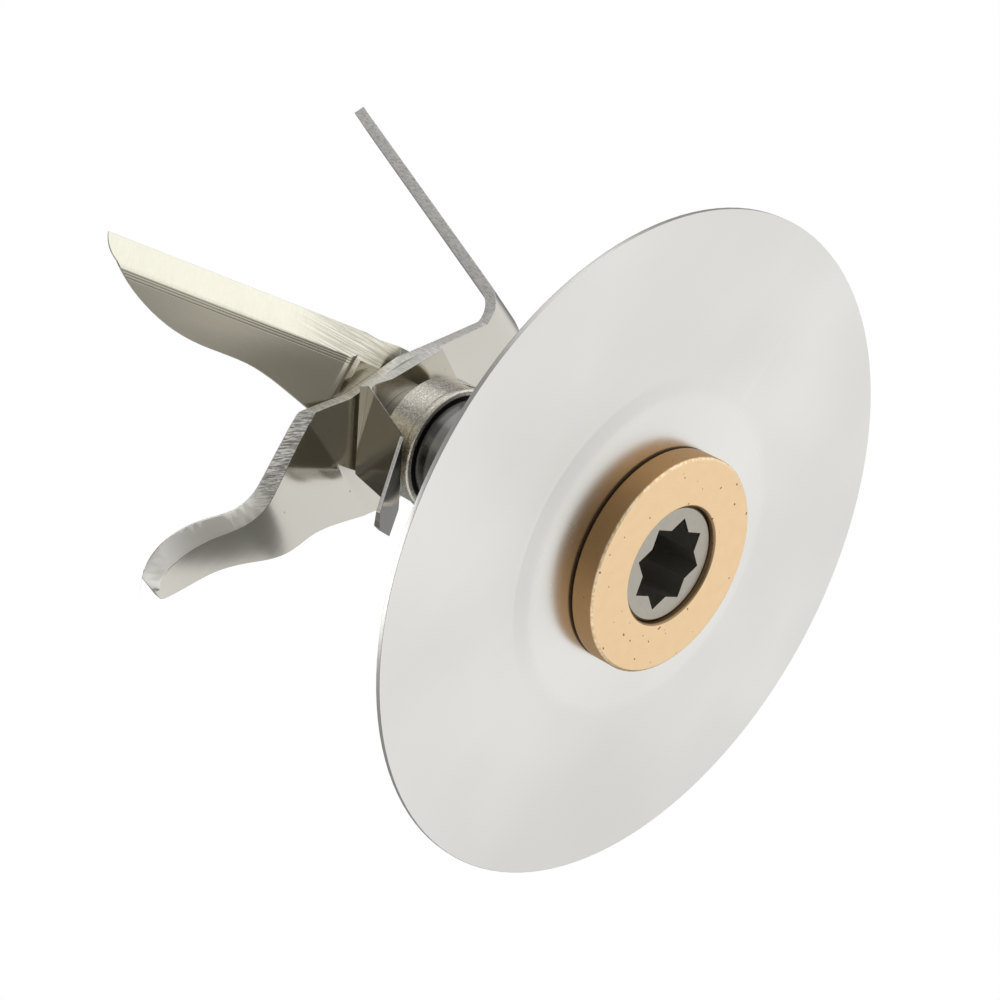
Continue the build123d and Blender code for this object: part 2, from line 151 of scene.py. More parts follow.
class Signal:
    """A socket's value, with arithmetic that adds Math nodes to its tree."""

    def __init__(self, bench: "Bench", socket: bpy.types.NodeSocket) -> None:
        """Wrap a socket of the bench's node tree."""
        self.bench = bench
        self.socket = socket

    def _math(self, operation: str, *values: Union["Signal", Number]) -> "Signal":
        """Add one Math node.

        Args:
            operation: the Math node's operation.
            values: its inputs, in order.

        Returns:
            The node's result.
        """
        return self.bench.add(Kind.MATH, {"operation": operation}, dict(enumerate(values)))

    def __add__(self, other: Union["Signal", Number]) -> "Signal":
        """Sum."""
        return self._math("ADD", self, other)

    __radd__ = __add__

    def __sub__(self, other: Union["Signal", Number]) -> "Signal":
        """Difference."""
        return self._math("SUBTRACT", self, other)

    def __rsub__(self, other: Number) -> "Signal":
        """Difference from a number."""
        return self._math("SUBTRACT", other, self)

    def __mul__(self, other: Union["Signal", Number]) -> "Signal":
        """Product."""
        return self._math("MULTIPLY", self, other)

    __rmul__ = __mul__

    def __abs__(self) -> "Signal":
        """Absolute value."""
        return self._math("ABSOLUTE", self)

    def root(self) -> "Signal":
        """Square root."""
        return self._math("SQRT", self)

    def sign(self) -> "Signal":
        """-1, 0 or 1."""
        return self._math("SIGN", self)

    def wave(self, pitch: float) -> "Signal":
        """A wave between 0 and 1 that repeats at each pitch."""
        return (self._math("SINE", self * (2 * math.pi / pitch)) + 1) * 0.5

    def line(self, middle: float, half: float) -> "Signal":
        """1 on a line through a value, fading to 0 at half a width from it."""
        return 1 - abs(self - middle).smooth(0.0, half)

    def smooth(self, low: float, high: float) -> "Signal":
        """A soft step from 0 at low to 1 at high.

        Args:
            low: where the step starts.
            high: where it ends.

        Returns:
            The step.
        """
        settings = {"interpolation_type": "SMOOTHSTEP"}
        return self.bench.add(Kind.RANGE, settings, {"Value": self, "From Min": low, "From Max": high})


class MixSocket(IntEnum):
    """Sockets of a Mix node that mixes colours; its other sockets have the same names."""

    FACTOR = 0
    FIRST = 6
    SECOND = 7
    RESULT = 2


class Bench:
    """A node tree that a finish is put together on."""

    def __init__(self, tree: bpy.types.NodeTree) -> None:
        """Empty the tree."""
        self.tree = tree
        tree.nodes.clear()

    def node(self, kind: Kind, settings: dict[str, Any], inputs: dict[Any, Any]) -> bpy.types.Node:
        """Add any node.

        Args:
            kind: the node's type.
            settings: its properties, set before its sockets.
            inputs: values or signals by socket name or number.

        Returns:
            The node.
        """
        made = self.tree.nodes.new(kind.value)
        for key, value in settings.items():
            setattr(made, key, value)
        for key, value in inputs.items():
            if isinstance(value, Signal):
                self.tree.links.new(value.socket, made.inputs[key])
            else:
                made.inputs[key].default_value = value
        return made

    def add(
        self, kind: Kind, settings: dict[str, Any], inputs: dict[Any, Any], output: Union[int, str] = 0
    ) -> Signal:
        """Add any node and take one of its outputs.

        Args:
            kind: the node's type.
            settings: its properties.
            inputs: values or signals by socket name or number.
            output: the output's name or number.

        Returns:
            That output.
        """
        return Signal(self, self.node(kind, settings, inputs).outputs[output])

    def point(self, turn: float = 0.0, stretch: Triple = (1.0, 1.0, 1.0)) -> Signal:
        """Object coordinates, turned about the shaft's axis and stretched.

        Args:
            turn: degrees about +Z that the pattern's +X is turned by.
            stretch: scale along the turned axes.

        Returns:
            The vector.
        """
        raw = self.add(Kind.POINT, {}, {}, "Object")
        settings = {"vector_type": "POINT"}
        placed = self.add(Kind.MAPPING, settings, {"Vector": raw, "Rotation": (0, 0, -math.radians(turn))})
        return self.add(Kind.MAPPING, settings, {"Vector": placed, "Scale": stretch})

    def split(self, vector: Signal) -> tuple[Signal, ...]:
        """The three parts of a vector."""
        made = self.node(Kind.SPLIT, {}, {"Vector": vector})
        return tuple(Signal(self, output) for output in made.outputs)

    def radius(self) -> Signal:
        """Distance from the shaft's axis, in metres."""
        x, y, _ = self.split(self.point())
        return (x * x + y * y).root()

    def height(self) -> Signal:
        """Height above the flange's lower face, in metres."""
        return self.split(self.point())[2]

    def noise(self, grain: Grain, turn: float = 0.0) -> Signal:
        """Noise from 0 to 1.

        Args:
            grain: the pattern.
            turn: degrees about +Z that it is turned by.

        Returns:
            The noise.
        """
        inputs = {
            "Vector": self.point(turn, grain.stretch),
            "Scale": grain.scale,
            "Detail": grain.detail,
            "Roughness": grain.rough,
        }
        return self.add(Kind.NOISE, {"noise_dimensions": "3D"}, inputs, "Fac")

    def blend(self, factor: Signal, first: Union[Signal, Colour], second: Union[Signal, Colour]) -> Signal:
        """Mix two colours.

        Args:
            factor: share of the second.
            first: colour or signal.
            second: colour or signal.

        Returns:
            The mixed colour.
        """
        inputs: dict[Any, Any] = {MixSocket.FACTOR: factor}
        for place, colour in ((MixSocket.FIRST, first), (MixSocket.SECOND, second)):
            inputs[place] = colour if isinstance(colour, Signal) else (*colour, 1.0)
        return self.add(Kind.MIX, {"data_type": "RGBA"}, inputs, MixSocket.RESULT)

    def bump(self, height: Signal, depth: float) -> Signal:
        """A bump that feeds Normal.

        Args:
            height: the height map, 0 to 1.
            depth: what 1 stands for, in metres.

        Returns:
            The normal.
        """
        inputs = {"Height": height, "Distance": depth, "Strength": 1.0}
        return self.add(Kind.BUMP, {}, inputs, "Normal")

    def surface(self, inputs: dict[str, Any]) -> None:
        """Finish a material with one Principled surface.

        Args:
            inputs: its sockets.
        """
        shader = self.add(Kind.SURFACE, {}, inputs)
        self.node(Kind.OUTPUT, {}, {"Surface": shader})

    def metal(self, colour: Signal, rough: Signal, normal: Signal) -> None:
        """Finish a material as bare metal.

        Args:
            colour: its base colour.
            rough: its roughness.
            normal: its bumps.
        """
        self.surface({"Base Color": colour, "Metallic": 1.0, "Roughness": rough, "Normal": normal})


class Finish:
    """A surface finish: its fields hold the look, and paint puts it together."""

    name: str

    def material(self) -> bpy.types.Material:
        """Build the material.

        Returns:
            The material.
        """
        made = bpy.data.materials.new(self.name)
        made.use_nodes = True
        self.paint(Bench(made.node_tree))
        return made

    def paint(self, bench: Bench) -> None:
        """Put the finish together, in the way of each kind of finish.

        Args:
            bench: the material's bench.
        """
        raise NotImplementedError


@dataclass(frozen=True)
class SatinSteel(Finish):
    """Pressed stainless sheet: a soft, cloudy sheen, smoother where the boss was struck."""

    name: str = "satin_pressed_steel"
    pale: Colour = (0.75, 0.745, 0.715)
    dull: Colour = (0.7, 0.695, 0.665)
    boss_radius: float = 16.6 * MM
    boss_fade: float = 1.5 * MM
    roughness: float = 0.3
    boss_roughness: float = 0.2
    cloud: Grain = Grain(38.0)
    cloud_step: Span = (0.3, 0.7)
    cloud_rough: float = 0.06
    smear: Grain = Grain(120.0, 3.0, stretch=(1.0, 5.0, 1.0))
    smear_turn: float = 20.0
    smear_rough: float = 0.05
    grain: Grain = Grain(9000.0, 3.0)
    grain_depth: float = 0.0015 * MM

    def paint(self, bench: Bench) -> None:
        """Put the finish together.

        Args:
            bench: the material's bench.
        """
        struck = bench.radius().smooth(self.boss_radius, self.boss_radius - self.boss_fade)
        cloud = bench.noise(self.cloud).smooth(*self.cloud_step)
        smear = bench.noise(self.smear, self.smear_turn)
        colour = bench.blend(cloud, self.pale, self.dull)
        rough = self.roughness + self.cloud_rough * cloud + self.smear_rough * smear
        rough = rough - (self.roughness - self.boss_roughness) * struck
        bench.metal(colour, rough, bench.bump(bench.noise(self.grain), self.grain_depth))


@dataclass(frozen=True)
class SinteredBronze(Finish):
    """Porous bearing bronze: its end faced on a lathe, its side dull, painted shade in the seam under the
    disc.
    """

    name: str = "sintered_bronze"
    faced: Colour = (0.855, 0.627, 0.375)
    dull: Colour = (0.54, 0.325, 0.15)
    pit_and_shade: Colour = (0.16, 0.1, 0.05)
    edge_tone: Colour = (1.0, 0.84, 0.6)
    side_radius: float = FLANGE_RADIUS - 0.01 * MM
    side_fade: float = 0.1 * MM
    edge_height: float = 1.3 * MM
    edge_inset: float = 0.14 * MM
    edge_half: float = 0.16 * MM
    seam_height: float = DISC_BOTTOM - 0.23 * MM
    seam_fade: float = 0.06 * MM
    seam_shade_share: float = 0.9
    bore_radius: float = 6.05 * MM
    bore_fade: float = 0.1 * MM
    bore_share: float = 0.75
    nicks: Grain = Grain(2400.0, 3.0)
    nick_step: Span = (0.4, 0.6)
    mottle: Grain = Grain(900.0, 3.0)
    mottle_share: float = 0.12
    mottle_height: float = 0.3
    pits: Grain = Grain(1500.0, 1.0)
    pit_step: Span = (0.735, 0.76)
    pit_share: float = 0.8
    ring_pitch: float = 0.22 * MM
    ring_height: float = 0.12
    depth: float = 0.01 * MM
    roughness: float = 0.33
    mottle_rough: float = 0.1
    side_rough: float = 0.12
    pit_rough: float = 0.2
    seam_rough: float = 0.3

    def paint(self, bench: Bench) -> None:
        """Put the finish together.

        Args:
            bench: the material's bench.
        """
        radius = bench.radius()
        height = bench.height()
        lower = height.smooth(self.edge_height, 0.5 * self.edge_height)
        side = 1 - (1 - radius.smooth(self.side_radius - self.side_fade, self.side_radius)) * lower
        bore = radius.smooth(self.bore_radius, self.bore_radius - self.bore_fade)
        # painted shade: the flange is darkened in the seam where it meets the disc
        seam = height.smooth(self.seam_height - self.seam_fade, self.seam_height)
        edge = radius.line(self.side_radius - self.edge_inset, self.edge_half) * lower
        nicked = edge * bench.noise(self.nicks).smooth(*self.nick_step)
        mottle = bench.noise(self.mottle)
        pits = bench.noise(self.pits).smooth(*self.pit_step)
        colour = bench.blend(side, self.faced, self.dull)
        colour = bench.blend(mottle * self.mottle_share, colour, self.dull)
        colour = bench.blend(bore * self.bore_share, colour, self.pit_and_shade)
        colour = bench.blend(nicked, colour, self.edge_tone)
        colour = bench.blend(pits * self.pit_share, colour, self.pit_and_shade)
        # painted shade in the seam under the disc, in the same dark brown as the pits
        colour = bench.blend(seam * self.seam_shade_share, colour, self.pit_and_shade)
        rough = self.roughness + self.mottle_rough * mottle + self.side_rough * side
        rough = rough + self.pit_rough * pits + self.seam_rough * seam
        rings = radius.wave(self.ring_pitch)
        relief = rings * self.ring_height - pits + mottle * self.mottle_height - nicked
        bench.metal(colour, rough, bench.bump(relief, self.depth))


@dataclass(frozen=True)
class TurnedSteel(Finish):
    """Steel turned on a lathe: fine rings round the axis, blots of stain and, where set, raised grains with
    painted highlights.
    """

    name: str
    tone: Colour
    shade: Colour
    roughness: float = 0.24
    pitch: float = 0.16 * MM
    lines: Grain = Grain(1.0 / pitch, 3.0, 0.6, (0.04, 0.04, 1.0))
    line_share: float = 0.35
    line_rough: float = 0.12
    line_height: float = 0.7
    ring_height: float = 0.3
    blot: Grain = Grain(260.0, 4.0)
    blot_step: Span = (0.45, 0.75)
    blot_share: float = 0.3
    blot_rough: float = 0.1
    grain: Grain = Grain(6000.0, 2.0, stretch=(1.0, 1.0, 0.6))
    grain_step: Span = (0.45, 0.62)
    grain_height: float = 2.5
    painted_glint_share: float = 0.0
    painted_glint: Colour = (0.98, 0.93, 0.8)
    depth: float = 0.008 * MM

    def paint(self, bench: Bench) -> None:
        """Put the finish together.

        Args:
            bench: the material's bench.
        """
        lines = bench.noise(self.lines)
        rings = bench.radius().wave(self.pitch)
        blot = bench.noise(self.blot).smooth(*self.blot_step)
        # painted highlights: grains coloured near white, and also raised as bumps
        bright = bench.noise(self.grain).smooth(*self.grain_step) * self.painted_glint_share
        colour = bench.blend(blot * self.blot_share, self.tone, self.shade)
        colour = bench.blend(lines * self.line_share, colour, self.shade)
        colour = bench.blend(bright, colour, self.painted_glint)
        rough = self.roughness + self.line_rough * lines + self.blot_rough * blot
        relief = lines * self.line_height + rings * self.ring_height + bright * self.grain_height
        bench.metal(colour, rough, bench.bump(relief, self.depth))


@dataclass(frozen=True)
class DrivenSteel(Finish):
    """The shaft: bright turned steel outside, darker and rougher down in the drive socket, the darkening
    painted shade.
    """

    name: str = "drive_shaft_steel"
    bright: Colour = (0.44, 0.41, 0.35)
    worn: Colour = (0.3, 0.28, 0.25)
    dark: Colour = (0.36, 0.345, 0.31)
    socket_radius: float = 4.7 * MM
    socket_fade: float = 0.05 * MM
    socket_top: float = 12.0 * MM
    top_fade: float = 1.0 * MM
    mouth: Span = (SHAFT_BOTTOM + 0.02 * MM, SHAFT_BOTTOM + 0.8 * MM)
    scuff: Grain = Grain(2600.0, 4.0, 0.65)
    scuff_share: float = 0.4
    scuff_rough: float = 0.15
    scuff_height: float = 0.7
    ring_pitch: float = 0.3 * MM
    ring_height: float = 0.3
    roughness: float = 0.3
    socket_rough: float = 0.1
    depth: float = 0.012 * MM

    def paint(self, bench: Bench) -> None:
        """Put the finish together.

        Args:
            bench: the material's bench.
        """
        radius = bench.radius()
        height = bench.height()
        inside = radius.smooth(self.socket_radius, self.socket_radius - self.socket_fade)
        below = height.smooth(self.socket_top, self.socket_top - self.top_fade)
        # painted shade inside the drive socket
        socket_shade = inside * height.smooth(*self.mouth) * below
        scuff = bench.noise(self.scuff)
        colour = bench.blend(scuff * self.scuff_share, self.bright, self.worn)
        colour = bench.blend(socket_shade, colour, self.dark)
        rough = self.roughness + self.scuff_rough * scuff + self.socket_rough * socket_shade
        relief = radius.wave(self.ring_pitch) * self.ring_height + scuff * self.scuff_height
        bench.metal(colour, rough, bench.bump(relief, self.depth))


@dataclass(frozen=True)
class RolledFace(Finish):
    """Polished face of a blade, with faint lines left by rolling."""

    name: str
    heading: float
    tone: Colour = (0.58, 0.545, 0.44)
    shade: Colour = (0.52, 0.485, 0.39)
    roughness: float = 0.12
    streak: Grain = Grain(2200.0, 3.0, 0.6, (0.05, 1.0, 0.05))
    streak_rough: float = 0.05
    streak_height: float = 0.15
    cloud: Grain = Grain(110.0)
    cloud_rough: float = 0.05
    nick: Colour = (0.2, 0.18, 0.15)
    nicks: Grain = Grain(1500.0, 1.0)
    nick_step: Span = (0.78, 0.8)
    nick_share: float = 0.5
    mark: Colour = (0.2, 0.185, 0.15)
    depth: float = 0.012 * MM

    def marks(self, bench: Bench) -> Optional[Signal]:
        """Lines scored on the face, if it has any.

        Args:
            bench: the material's bench.

        Returns:
            A mask of the lines, or nothing.
        """
        return None

    def paint(self, bench: Bench) -> None:
        """Put the finish together.

        Args:
            bench: the material's bench.
        """
        streak = bench.noise(self.streak, self.heading)
        cloud = bench.noise(self.cloud)
        nicks = bench.noise(self.nicks).smooth(*self.nick_step)
        colour = bench.blend(cloud, self.tone, self.shade)
        colour = bench.blend(nicks * self.nick_share, colour, self.nick)
        rough = self.roughness + self.streak_rough * streak + self.cloud_rough * cloud
        relief = streak * self.streak_height
        marks = self.marks(bench)
        if marks is not None:
            colour = bench.blend(marks, colour, self.mark)
            relief = relief - marks
        bench.metal(colour, rough, bench.bump(relief, self.depth))


@dataclass(frozen=True)
class LinedFace(RolledFace):
    """Face of the top blade: three fine lines that run along the ground bevel of both wings."""

    root_reach: float = 9.0 * MM
    root_fade: Span = (-1.0 * MM, 0.5 * MM)
    rise: float = 33.0
    edge_root: float = 6.3 * MM
    edge_slant: float = 3.4 / 27.0
    lines: tuple[float, ...] = (2.98 * MM, 3.22 * MM, 3.5 * MM)
    half_width: float = 0.09 * MM
    line_share: float = 0.7

    def marks(self, bench: Bench) -> Optional[Signal]:
        """The three lines, measured from the cutting edge of either wing.

        Args:
            bench: the material's bench.

        Returns:
            A mask of the lines.
        """
        x, y, _ = bench.split(bench.point())
        along = (abs(y) - self.root_reach) * (1 / math.cos(math.radians(self.rise)))
        inward = self.edge_root - along * self.edge_slant + x * y.sign()
        mask, *others = (inward.line(place, self.half_width) for place in self.lines)
        for other in others:
            mask = mask + other
        return mask * along.smooth(*self.root_fade) * self.line_share


@dataclass(frozen=True)
class GroundBevel(Finish):
    """Cutting bevel of the top blade: ground across the edge, with grooves along it near the hub.

    The pattern of the marks is turned by mark_turn from the wing's heading.
    """

    name: str
    heading: float
    tone: Colour = (1.0, 0.98, 0.84)
    shade: Colour = (0.86, 0.83, 0.7)
    roughness: float = 0.24
    grind: Grain = Grain(5200.0, 3.0, 0.65, (1.0, 0.06, 0.4))
    grind_share: float = 0.25
    grind_rough: float = 0.14
    grind_height: float = 0.4
    burn: Grain = Grain(240.0)
    burn_step: Span = (0.5, 0.8)
    burn_share: float = 0.3
    mark: Colour = (0.36, 0.34, 0.28)
    marks: Grain = Grain(5000.0, 3.0, 0.7, (0.02, 1.0, 0.0))
    mark_turn: float = 0.0
    mark_step: Span = (0.35, 0.65)
    mark_share: float = 0.6
    mark_reach: Span = (16.0 * MM, 10.0 * MM)
    depth: float = 0.014 * MM

    def near_hub(self, along: Signal) -> Signal:
        """Where the marks are: on both wings, fading out along them."""
        return abs(along).smooth(*self.mark_reach)

    def ground(self, grind: Signal, near: Signal) -> Signal:
        """Height of the grinding's own grain, the same all along."""
        return grind * self.grind_height

    def paint(self, bench: Bench) -> None:
        """Put the finish together.

        Args:
            bench: the material's bench.
        """
        near = self.near_hub(bench.split(bench.point(self.heading))[0])
        grind = bench.noise(self.grind, self.heading)
        burn = bench.noise(self.burn).smooth(*self.burn_step)
        marks = bench.noise(self.marks, self.heading + self.mark_turn).smooth(*self.mark_step) * near
        colour = bench.blend(grind * self.grind_share, self.tone, self.shade)
        colour = bench.blend(burn * self.burn_share, colour, self.shade)
        colour = bench.blend(marks * self.mark_share, colour, self.mark)
        rough = self.roughness + self.grind_rough * grind
        bench.metal(colour, rough, bench.bump(self.ground(grind, near) + marks, self.depth))


@dataclass(frozen=True)
class TornBevel(GroundBevel):
    """Bevel of the stepped wing: torn by a coarse wheel near the hub and polished towards the toe."""

    tone: Colour = (0.96, 0.945, 0.89)
    shade: Colour = (0.92, 0.905, 0.85)
    roughness: float = 0.36
    mark: Colour = (0.15, 0.14, 0.12)
    marks: Grain = Grain(9000.0, 4.0, 0.75, (1.0, 0.08, 0.08))
    mark_turn: float = 126.0
    mark_step: Span = (0.4, 0.6)
    mark_share: float = 0.85
    mark_reach: Span = (19.5 * MM, 14.5 * MM)
    hub_fade: Span = (0.0, 2.0 * MM)

    def near_hub(self, along: Signal) -> Signal:
        """Where the marks are: on the stepped wing alone, fading out along it."""
        return along.smooth(*self.mark_reach) * along.smooth(*self.hub_fade)

    def ground(self, grind: Signal, near: Signal) -> Signal:
        """Height of the grinding's own grain, polished off towards the toe."""
        return grind * self.grind_height * near


@dataclass(frozen=True)
class ShearedSide(Finish):
    """Edge of the sheet where it was stamped: a fine grain across the thickness."""

    name: str
    heading: float
    tone: Colour = (0.9, 0.89, 0.86)
    shade: Colour = (0.5, 0.485, 0.44)
    tear: Grain = Grain(9000.0, 3.0, 0.6, (1.0, 1.0, 0.12))
    patch: Grain = Grain(2600.0, 3.0)
    patch_share: float = 0.2
    shade_step: Span = (0.3, 0.75)
    roughness: float = 0.36
    tear_rough: float = 0.16
    depth: float = 0.005 * MM

    def paint(self, bench: Bench) -> None:
        """Put the finish together.

        Args:
            bench: the material's bench.
        """
        tear = bench.noise(self.tear, self.heading)
        worn = tear * (1 - self.patch_share) + bench.noise(self.patch) * self.patch_share
        colour = bench.blend(worn.smooth(*self.shade_step), self.tone, self.shade)
        rough = self.roughness + self.tear_rough * tear
        bench.metal(colour, rough, bench.bump(tear, self.depth))


@dataclass(frozen=True)
class BlackMoulding(Finish):
    """Black rubber with a film of dust."""

    name: str
    roughness: float
    tone: Colour = (0.02, 0.02, 0.021)
    dust: Colour = (0.06, 0.058, 0.055)
    speck: Grain = Grain(3000.0, 4.0, 0.6)
    speck_rough: float = 0.08
    film: Grain = Grain(180.0, 3.0)
    film_rough: float = 0.15
    index: float = 1.5
    depth: float = 0.006 * MM

    def band(self, bench: Bench, colour: Signal) -> Signal:
        """Colour of the moulding with any band round it, here none."""
        return colour

    def paint(self, bench: Bench) -> None:
        """Put the finish together.

        Args:
            bench: the material's bench.
        """
        speck = bench.noise(self.speck)
        film = bench.noise(self.film)
        colour = self.band(bench, bench.blend(film * speck, self.tone, self.dust))
        rough = self.roughness + self.film_rough * film + self.speck_rough * speck
        normal = bench.bump(speck, self.depth)
        bench.surface({"Base Color": colour, "Roughness": rough, "IOR": self.index, "Normal": normal})


@dataclass(frozen=True)
class StreakedTower(BlackMoulding):
    """The tower: glossy and streaked round its stem, with a black band of painted shade on top, under the
    collar.
    """

    name: str = "glossy_tower"
    roughness: float = 0.12
    tone: Colour = (0.16, 0.16, 0.15)
    dust: Colour = (0.42, 0.41, 0.38)
    streak: Triple = (0.15, 0.15, 1.0)
    speck: Grain = Grain(1500.0, 4.0, 0.6, streak)
    film: Grain = Grain(180.0, 3.0, stretch=streak)
    index: float = 2.2
    # painted shade: a black band at the top of the stem, inside the collar
    black: Colour = (0.012, 0.012, 0.012)
    black_from: Span = (TOWER_TOP - 1.9 * MM, TOWER_TOP - 1.6 * MM)

    def band(self, bench: Bench, colour: Signal) -> Signal:
        """Colour of the tower with the black band of painted shade on top of its stem."""
        return bench.blend(bench.height().smooth(*self.black_from), colour, self.black)


@dataclass(frozen=True)
class StudioFloor(Finish):
    """Pale floor that is clear from below."""

    name: str = "studio_floor"
    pale: Colour = (0.86, 0.86, 0.855)
    shade: Colour = (0.8, 0.8, 0.795)
    mottle: Grain = Grain(3.0)
    mottle_share: float = 0.3
    roughness: float = 0.7

    def paint(self, bench: Bench) -> None:
        """Put the finish together.

        Args:
            bench: the material's bench.
        """
        colour = bench.blend(bench.noise(self.mottle) * self.mottle_share, self.pale, self.shade)
        pale = bench.add(Kind.SURFACE, {}, {"Base Color": colour, "Roughness": self.roughness})
        clear = bench.add(Kind.TRANSPARENT, {}, {})
        behind = bench.add(Kind.GEOMETRY, {}, {}, "Backfacing")
        mixed = bench.add(Kind.MIX_SHADER, {}, {0: behind, 1: pale, 2: clear})
        bench.node(Kind.OUTPUT, {}, {"Surface": mixed})


def select_only(piece: bpy.types.Object) -> None:
    """Select one object and make it active.

    Args:
        piece: the object.
    """
    bpy.ops.object.select_all(action="DESELECT")
    piece.hide_set(False)
    piece.select_set(True)
    bpy.context.view_layer.objects.active = piece


def coat(node: str, material: bpy.types.Material) -> None:
    """Finish a node that is out of sight and keeps its own mesh.

    Args:
        node: the node's name.
        material: its finish.
    """
    mesh = frame["nodes"][node].data
    mesh.materials.clear()
    mesh.materials.append(material)
    LOG.info("%s: %s on its own mesh", node, material.name)


@dataclass
class Dressed:
    """A copy of a node with welded faces and softened edges, which stands for the node.

    Edges that turn by more than sharp degrees are rounded by the width edge. Triangles that lie within
    plane degrees of each other are joined.
    """

    node: str
    body: Body
    slot: Slot
    edge: float = 0.06 * MM
    segments: int = 2
    sharp: float = 28.0
    weld: float = 0.001 * MM
    plane: float = 0.25
    piece: bpy.types.Object = field(init=False)

    def copy(self) -> None:
        """Copy the node, weld its triangles and join those that lie in one plane."""
        select_only(frame["nodes"][self.node])
        bpy.ops.object.duplicate()
        piece = bpy.context.view_layer.objects.active
        piece.name = f"{self.node}_dressed"
        piece.data.name = piece.name
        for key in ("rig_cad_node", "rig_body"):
            del piece[key]
        piece.parent = None
        piece.data.materials.clear()
        if piece.data.has_custom_normals:
            bpy.ops.mesh.customdata_custom_splitnormals_clear()
        bpy.ops.object.mode_set(mode="EDIT")
        bpy.ops.mesh.select_all(action="SELECT")
        bpy.ops.mesh.remove_doubles(threshold=self.weld)
        bpy.ops.mesh.dissolve_limited(angle_limit=math.radians(self.plane), delimit={"NORMAL"})
        bpy.ops.object.mode_set(mode="OBJECT")
        self.piece = piece

    def paint(self, materials: Sequence[bpy.types.Material]) -> None:
        """Give the copy its materials.

        Args:
            materials: one for each material slot.
        """
        for material in materials:
            self.piece.data.materials.append(material)

    def soften(self) -> None:
        """Round the sharp edges, shade the rest smooth and keep large faces flat."""
        select_only(self.piece)
        bevel = self.piece.modifiers.new("edge", "BEVEL")
        bevel.width = self.edge
        bevel.segments = self.segments
        bevel.limit_method = "ANGLE"
        bevel.angle_limit = math.radians(self.sharp)
        bevel.use_clamp_overlap = False
        bevel.miter_outer = "MITER_ARC"
        bpy.ops.object.modifier_apply(modifier=bevel.name)
        bpy.ops.object.shade_smooth_by_angle(angle=math.radians(self.sharp))
        weighted = self.piece.modifiers.new("flat_faces", "WEIGHTED_NORMAL")
        weighted.keep_sharp = True
        bpy.ops.object.modifier_apply(modifier=weighted.name)

    def build(self, *materials: bpy.types.Material) -> None:
        """Make the copy, finish it and let it stand for the node.

        Args:
            materials: one for each material slot.
        """
        self.copy()
        self.paint(materials)
        self.soften()
        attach(self.piece, self.body.value)
        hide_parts(self.node)
        LOG.info("%s: %d faces on %s", self.piece.name, len(self.piece.data.polygons), self.body.value)


@dataclass
class Blade(Dressed):
    """A blade, whose faces, ground bevels and stamped sides have finishes of their own.

    Its wings point along the headings, in degrees. The one along level_heading lies level, so its faces are
    told apart by how far they look up or down, from flat to upright. Those of the other wings are told apart
    by how far they look across the wing: from bevel_low it is a bevel and from bevel_high a side.
    """

    headings: tuple[float, float] = (0.0, 180.0)
    level_heading: Optional[float] = None
    hub_reach: float = 6.5 * MM
    flat: float = 0.955
    upright: float = 0.45
    hub_wall: float = 0.1
    bevel_low: float = 0.2
    bevel_high: float = 0.8

    def zone(self, centre: Vector, normal: Vector) -> Zone:
        """Which part of the blade a face belongs to.

        Args:
            centre: the face's middle.
            normal: the way it looks.

        Returns:
            Its zone.
        """
        turns = {heading: math.radians(heading) for heading in self.headings}
        outs = {heading: Vector((math.cos(turn), math.sin(turn), 0)) for heading, turn in turns.items()}
        heading = max(self.headings, key=lambda each: centre.dot(outs[each]))
        out = outs[heading]
        on_hub = centre.dot(out) < self.hub_reach
        if heading == self.level_heading and not on_hub:
            if abs(normal.z) > self.flat:
                return Zone.FACE
            return Zone.SIDE if abs(normal.z) < self.upright else Zone.BEVEL
        across = normal.dot(Vector((-out.y, out.x, 0)))
        stamped = abs(normal.z) < self.hub_wall if on_hub else abs(across) > self.bevel_high
        if stamped:
            return Zone.SIDE
        return Zone.BEVEL if across > self.bevel_low else Zone.FACE

    def paint(self, materials: Sequence[bpy.types.Material]) -> None:
        """Give every face of the copy the material of its zone.

        Args:
            materials: face, bevel and side.
        """
        super().paint(materials)
        for polygon in self.piece.data.polygons:
            polygon.material_index = self.zone(polygon.center, polygon.normal).value


@dataclass(frozen=True)
class Lamp:
    """A soft square lamp: its place and side in metres and its power in watts."""

    name: str
    place: Triple
    power: float
    side: float = 0.6
    aim: Triple = (0.0, 0.0, 0.03)

    def build(self) -> None:
        """Hang the lamp and aim it at the part."""
        data = bpy.data.lights.new(self.name, "AREA")
        data.size = self.side
        data.energy = self.power
        lamp = bpy.data.objects.new(self.name, data)
        lamp.location = self.place
        way = Vector(self.aim) - Vector(self.place)
        lamp.rotation_mode = "QUATERNION"
        lamp.rotation_quaternion = way.to_track_quat("-Z", "Y")
        bpy.context.scene.collection.objects.link(lamp)


@dataclass(frozen=True)
class Glow:
    """A bright part of the surround: the way to it, the cosines of its edge and its core, its strength."""

    way: Triple
    step: Span
    gain: float

    def level(self, bench: Bench, seen_way: Signal) -> Signal:
        """How bright the glow is.

        Args:
            bench: the world's bench.
            seen_way: the way a ray leaves.

        Returns:
            The strength it adds.
        """
        way = tuple(Vector(self.way).normalized())
        inputs = {0: seen_way, 1: way}
        towards = bench.add(Kind.VECTOR_MATH, {"operation": "DOT_PRODUCT"}, inputs, "Value")
        return self.gain * towards.smooth(*self.step)


